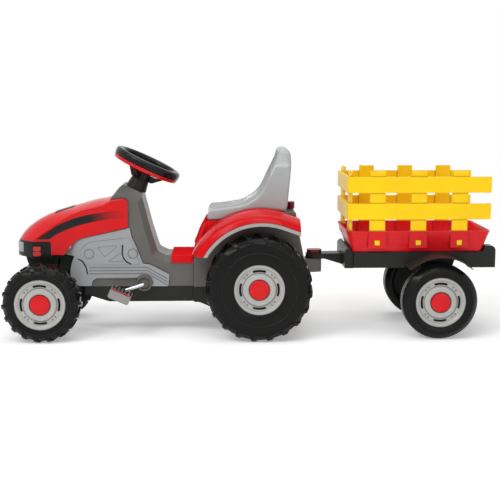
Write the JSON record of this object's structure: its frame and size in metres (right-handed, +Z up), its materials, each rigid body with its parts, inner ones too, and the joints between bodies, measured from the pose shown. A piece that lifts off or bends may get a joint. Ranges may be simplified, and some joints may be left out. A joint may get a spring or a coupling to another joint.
{
  "type": "ride on tractor toy",
  "caption": "Pedal tractor for a child to sit on, with chain drive, front-wheel steering, bucket seat and a hitched two-wheel trailer whose tub carries a slatted fence.",
  "frame": {"origin": "on the ground under the middle of the tractor and trailer together", "axes": "+X towards the rear, +Y towards the rider's right, +Z up"},
  "size_m": [1.494, 0.424, 0.5755],
  "materials": {
    "red_plastic": "smooth moulded",
    "yellow_plastic": "smooth moulded",
    "silver_plastic": "fine grained, silver grey",
    "dark_grey_plastic": "fine grained",
    "black_plastic": "fine grained",
    "tyre_plastic": "matt, moulded tread",
    "steel": "zinc plated",
    "bearing_plastic": "smooth"
  },
  "bodies": {
    "tractor": {"chassis_frame": "black_plastic", "main_body": "dark_grey_plastic", "rear_body": "dark_grey_plastic", "hood": "red_plastic", "nose_band": "black_plastic", "engine_panel_left": "silver_plastic", "engine_panel_right": "silver_plastic", "front_carrier": "black_plastic", "front_axle_beam": "black_plastic", "seat_base": "red_plastic", "fender_left": "red_plastic", "fender_right": "red_plastic", "fender_trims": "silver_plastic", "seat": "silver_plastic", "hitch_bracket": "black_plastic", "steering_column": "black_plastic", "steering_bushes": "bearing_plastic", "crank_bushes": "bearing_plastic", "axle_bushes": "bearing_plastic", "drive_chain": "steel"},
    "steering": {"steering_wheel": "black_plastic", "steering_ring": "red_plastic", "steering_cap": "black_plastic", "steering_shaft": "steel"},
    "knuckle_left": {"knuckle_left": "steel"},
    "knuckle_right": {"knuckle_right": "steel"},
    "tie_rod": {"tie_rod": "steel"},
    "front_wheel_left": {"front_tyre_left": "tyre_plastic", "front_rim_left": "silver_plastic", "front_cap_left": "red_plastic"},
    "front_wheel_right": {"front_tyre_right": "tyre_plastic", "front_rim_right": "silver_plastic", "front_cap_right": "red_plastic"},
    "crank": {"crank_axle": "steel", "chainring": "steel"},
    "pedal_left": {"pedal_left": "dark_grey_plastic"},
    "pedal_right": {"pedal_right": "dark_grey_plastic"},
    "rear_drive": {"rear_axle": "steel", "rear_sprocket": "steel", "rear_tyre_left": "tyre_plastic", "rear_rim_left": "silver_plastic", "rear_cap_left": "red_plastic"},
    "rear_wheel_right": {"rear_tyre_right": "tyre_plastic", "rear_rim_right": "silver_plastic", "rear_cap_right": "red_plastic"},
    "seat_knob": {"seat_knob": "red_plastic"},
    "trailer": {"drawbar": "black_plastic", "trailer_frame": "black_plastic", "trailer_tub": "red_plastic", "fence_left": "yellow_plastic", "fence_right": "yellow_plastic", "fence_front": "yellow_plastic", "trailer_axle": "steel"},
    "trailer_wheel_left": {"trailer_tyre_left": "tyre_plastic", "trailer_rim_left": "silver_plastic", "trailer_cap_left": "red_plastic"},
    "trailer_wheel_right": {"trailer_tyre_right": "tyre_plastic", "trailer_rim_right": "silver_plastic", "trailer_cap_right": "red_plastic"},
    "hitch_pin": {"hitch_pin": "red_plastic"}
  },
  "joints": [
    {"name": "steer", "type": "hinge", "parent": "tractor", "child": "steering", "pos_m": [-0.321, 0, 0.5205], "axis": [0.4305, 0, 0.9026], "range_deg": [-31, 31]},
    {"name": "knuckle_left_turn", "type": "hinge", "parent": "tractor", "child": "knuckle_left", "pos_m": [-0.63, -0.095, 0.146], "axis": [0, 0, 1], "range_deg": [-22.1, 22.1]},
    {"name": "knuckle_right_turn", "type": "hinge", "parent": "tractor", "child": "knuckle_right", "pos_m": [-0.63, 0.095, 0.146], "axis": [0, 0, 1], "range_deg": [-22.1, 22.1]},
    {"name": "tie_rod_swing", "type": "hinge", "parent": "knuckle_left", "child": "tie_rod", "pos_m": [-0.585, -0.095, 0.179], "axis": [0, 0, 1], "range_deg": [-22.1, 22.1]},
    {"name": "front_wheel_left_spin", "type": "hinge", "parent": "knuckle_left", "child": "front_wheel_left", "pos_m": [-0.63, -0.159, 0.117], "axis": [0, 1, 0], "continuous": true},
    {"name": "front_wheel_right_spin", "type": "hinge", "parent": "knuckle_right", "child": "front_wheel_right", "pos_m": [-0.63, 0.159, 0.117], "axis": [0, 1, 0], "continuous": true},
    {"name": "rear_axle_spin", "type": "hinge", "parent": "tractor", "child": "rear_drive", "pos_m": [0.019, 0, 0.16], "axis": [0, 1, 0], "continuous": true, "deforming": ["drive_chain"]},
    {"name": "crank_spin", "type": "hinge", "parent": "tractor", "child": "crank", "pos_m": [-0.33004, 0, 0.16], "axis": [0, 1, 0], "continuous": true},
    {"name": "pedal_left_spin", "type": "hinge", "parent": "crank", "child": "pedal_left", "pos_m": [-0.39661, -0.16, 0.13837], "axis": [0, 1, 0], "continuous": true},
    {"name": "pedal_right_spin", "type": "hinge", "parent": "crank", "child": "pedal_right", "pos_m": [-0.26347, 0.16, 0.18163], "axis": [0, 1, 0], "continuous": true},
    {"name": "rear_wheel_right_spin", "type": "hinge", "parent": "rear_drive", "child": "rear_wheel_right", "pos_m": [0.019, 0.16, 0.16], "axis": [0, 1, 0], "continuous": true},
    {"name": "seat_knob_turn", "type": "hinge", "parent": "tractor", "child": "seat_knob", "pos_m": [0.124, 0, 0.389], "axis": [0, 0, 1], "continuous": true},
    {"name": "trailer_yaw", "type": "hinge", "parent": "tractor", "child": "trailer", "pos_m": [0.2, 0, 0.23], "axis": [0, 0, 1], "range_deg": [-40, 40]},
    {"name": "trailer_wheel_left_spin", "type": "hinge", "parent": "trailer", "child": "trailer_wheel_left", "pos_m": [0.565, -0.154, 0.114], "axis": [0, 1, 0], "continuous": true},
    {"name": "trailer_wheel_right_spin", "type": "hinge", "parent": "trailer", "child": "trailer_wheel_right", "pos_m": [0.565, 0.154, 0.114], "axis": [0, 1, 0], "continuous": true},
    {"name": "hitch_pin_lift", "type": "slide", "parent": "trailer", "child": "hitch_pin", "axis": [0, 0, 1], "range_m": [0, 0.07]}
  ],
  "couplings": [
    {"joint": "knuckle_left_turn", "follows": "steer", "ratio": 0.70968},
    {"joint": "knuckle_right_turn", "follows": "steer", "ratio": 0.70968},
    {"joint": "tie_rod_swing", "follows": "steer", "ratio": -0.70968},
    {"joint": "crank_spin", "follows": "rear_axle_spin", "ratio": 0.7}
  ]
}
